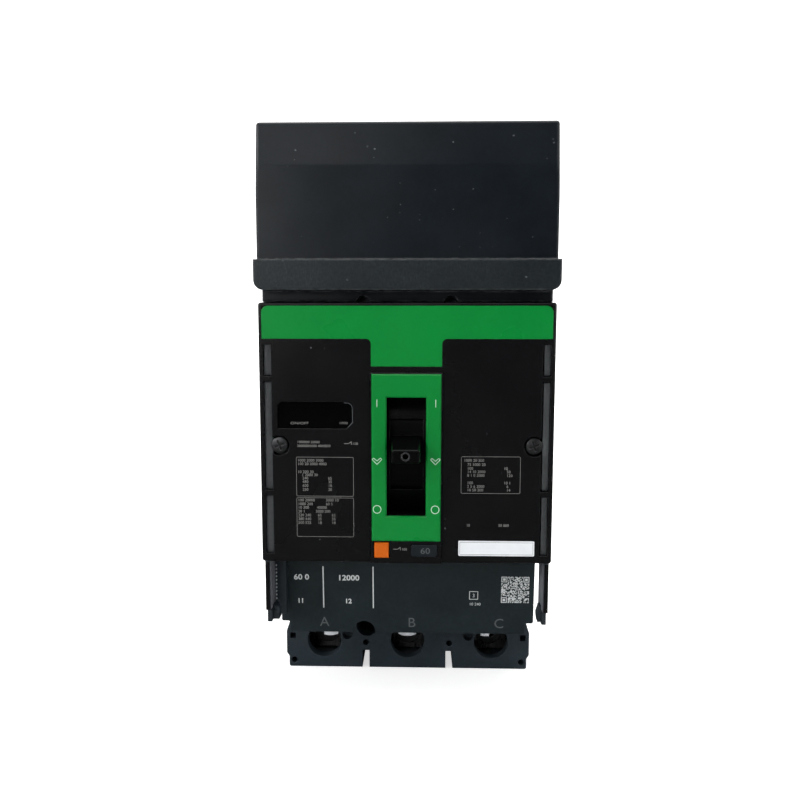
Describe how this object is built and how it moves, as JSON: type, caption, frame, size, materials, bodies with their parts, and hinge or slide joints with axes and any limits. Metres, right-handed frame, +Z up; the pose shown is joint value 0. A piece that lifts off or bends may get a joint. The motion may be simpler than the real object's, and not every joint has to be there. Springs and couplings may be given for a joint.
{
  "type": "molded case breaker",
  "caption": "Molded case breaker with a toggle handle, push-to-trip button, screw lugs at the load end and plug-on bus jaws in the tall housing at the line end.",
  "frame": {"origin": "centre of the rear mounting face, halfway up the frame", "axes": "+X right seen from the front, +Z up to the line end, the front faces -Y"},
  "size_m": [0.1068, 0.101, 0.2135],
  "materials": {
    "cover_black": "gloss",
    "housing_slate": "satin",
    "case_slate": "satin",
    "trip_slate": "satin",
    "green": "satin",
    "orange": "satin",
    "plate_grey": "satin",
    "handle_black": "satin",
    "steel": "satin",
    "black_steel": "satin",
    "spring_steel": "satin",
    "copper": "satin",
    "silvered": "satin",
    "aluminium": "satin",
    "moulded_brown": "matte",
    "moulded_cream": "matte"
  },
  "bodies": {
    "frame": {"rear_case": "case_slate", "front_case": "case_slate", "accessory_cover": "cover_black", "cover_band": "green", "escutcheon": "cover_black", "handle_bezel": "green", "rating_plate": "plate_grey", "cover_screws": "black_steel", "case_screws": "steel", "mounting_screw": "steel", "mounting_bracket": "steel", "side_plates": "steel", "mechanism_pins": "steel", "trip_unit_case": "trip_slate", "lug_cover": "case_slate", "plug_on_base": "housing_slate", "plug_on_cover": "housing_slate", "magnet_yokes": "steel", "jaw_springs": "spring_steel", "trip_button_spring": "spring_steel", "line_contact_a": "copper", "load_contact_a": "copper", "arc_chutes_a": "steel", "heater_a": "copper", "lug_a": "aluminium", "jaw_a": "silvered", "line_contact_b": "copper", "load_contact_b": "copper", "arc_chutes_b": "steel", "heater_b": "copper", "lug_b": "aluminium", "jaw_b": "silvered", "line_contact_c": "copper", "load_contact_c": "copper", "arc_chutes_c": "steel", "heater_c": "copper", "lug_c": "aluminium", "jaw_c": "silvered"},
    "handle": {"handle": "handle_black", "handle_yoke": "steel", "main_springs": "spring_steel"},
    "shutter": {"handle_shutter": "handle_black"},
    "button": {"trip_button": "orange"},
    "trip_bar": {"trip_bar": "moulded_cream"},
    "latch": {"latch": "steel"},
    "crossbar": {"crossbar": "moulded_brown", "contact_arm_a": "copper", "contact_arm_b": "copper", "contact_arm_c": "copper"},
    "cradle": {"cradle": "steel"},
    "upper_link": {"upper_link": "steel"},
    "lower_link": {"lower_link": "steel"},
    "armature_a": {"armature_a": "steel"},
    "lug_screw_a": {"lug_screw_a": "black_steel"},
    "armature_b": {"armature_b": "steel"},
    "lug_screw_b": {"lug_screw_b": "black_steel"},
    "armature_c": {"armature_c": "steel"},
    "lug_screw_c": {"lug_screw_c": "black_steel"}
  },
  "joints": [
    {"name": "handle_swing", "type": "hinge", "parent": "frame", "child": "handle", "pos_m": [0, -0.038, 0.0156], "axis": [-1, 0, 0], "range_deg": [-20, 15], "deforming": ["main_springs"]},
    {"name": "shutter_swing", "type": "hinge", "parent": "frame", "child": "shutter", "pos_m": [0, -0.038, 0.0156], "axis": [-1, 0, 0], "range_deg": [-10, 7.5]},
    {"name": "trip_button_slide", "type": "slide", "parent": "frame", "child": "button", "axis": [0, 1, 0], "range_m": [0, 0.0025], "stiffness_N_per_m": 800, "springref_m": -0.001, "deforming": ["trip_button_spring"]},
    {"name": "trip_bar_turn", "type": "hinge", "parent": "frame", "child": "trip_bar", "pos_m": [0, -0.056, -0.04], "axis": [-1, 0, 0], "range_deg": [0, 6.6]},
    {"name": "latch_turn", "type": "hinge", "parent": "frame", "child": "latch", "pos_m": [0, -0.044, -0.009], "axis": [1, 0, 0], "range_deg": [0, 14.33]},
    {"name": "crossbar_turn", "type": "hinge", "parent": "frame", "child": "crossbar", "pos_m": [0, -0.022, 0.025], "axis": [1, 0, 0], "range_deg": [0, 40]},
    {"name": "cradle_swing", "type": "hinge", "parent": "frame", "child": "cradle", "pos_m": [0, -0.048, 0.044], "axis": [1, 0, 0], "range_deg": [0, 14]},
    {"name": "lower_link_swing", "type": "hinge", "parent": "crossbar", "child": "lower_link", "pos_m": [0, -0.03328, 0.0209], "axis": [1, 0, 0], "range_deg": [-45.3, 0]},
    {"name": "upper_link_swing", "type": "hinge", "parent": "cradle", "child": "upper_link", "pos_m": [0, -0.0526, 0.02556], "axis": [1, 0, 0], "range_deg": [-41, 0]},
    {"name": "armature_a_pull", "type": "hinge", "parent": "frame", "child": "armature_a", "pos_m": [-0.035, -0.027, -0.0359], "axis": [1, 0, 0], "range_deg": [0, 5], "stiffness_Nm_per_rad": 0.02, "springref_deg": -11.46},
    {"name": "armature_b_pull", "type": "hinge", "parent": "frame", "child": "armature_b", "pos_m": [0, -0.027, -0.0359], "axis": [1, 0, 0], "range_deg": [0, 5], "stiffness_Nm_per_rad": 0.02, "springref_deg": -11.46},
    {"name": "armature_c_pull", "type": "hinge", "parent": "frame", "child": "armature_c", "pos_m": [0.035, -0.027, -0.0359], "axis": [1, 0, 0], "range_deg": [0, 5], "stiffness_Nm_per_rad": 0.02, "springref_deg": -11.46},
    {"name": "lug_screw_a_drive", "type": "slide", "parent": "frame", "child": "lug_screw_a", "axis": [0, 1, 0], "range_m": [0, 0.008]},
    {"name": "lug_screw_b_drive", "type": "slide", "parent": "frame", "child": "lug_screw_b", "axis": [0, 1, 0], "range_m": [0, 0.008]},
    {"name": "lug_screw_c_drive", "type": "slide", "parent": "frame", "child": "lug_screw_c", "axis": [0, 1, 0], "range_m": [0, 0.008]}
  ],
  "couplings": [
    {"joint": "shutter_swing", "follows": "handle_swing", "ratio": 0.5},
    {"joint": "trip_bar_turn", "follows": "trip_button_slide", "rad_per_m": 45.977},
    {"joint": "latch_turn", "follows": "trip_button_slide", "rad_per_m": 100},
    {"joint": "cradle_swing", "follows": "crossbar_turn", "ratio": 0.35},
    {"joint": "lower_link_swing", "follows": "crossbar_turn", "ratio": -1.1315},
    {"joint": "upper_link_swing", "follows": "crossbar_turn", "ratio": -1.0206}
  ]
}
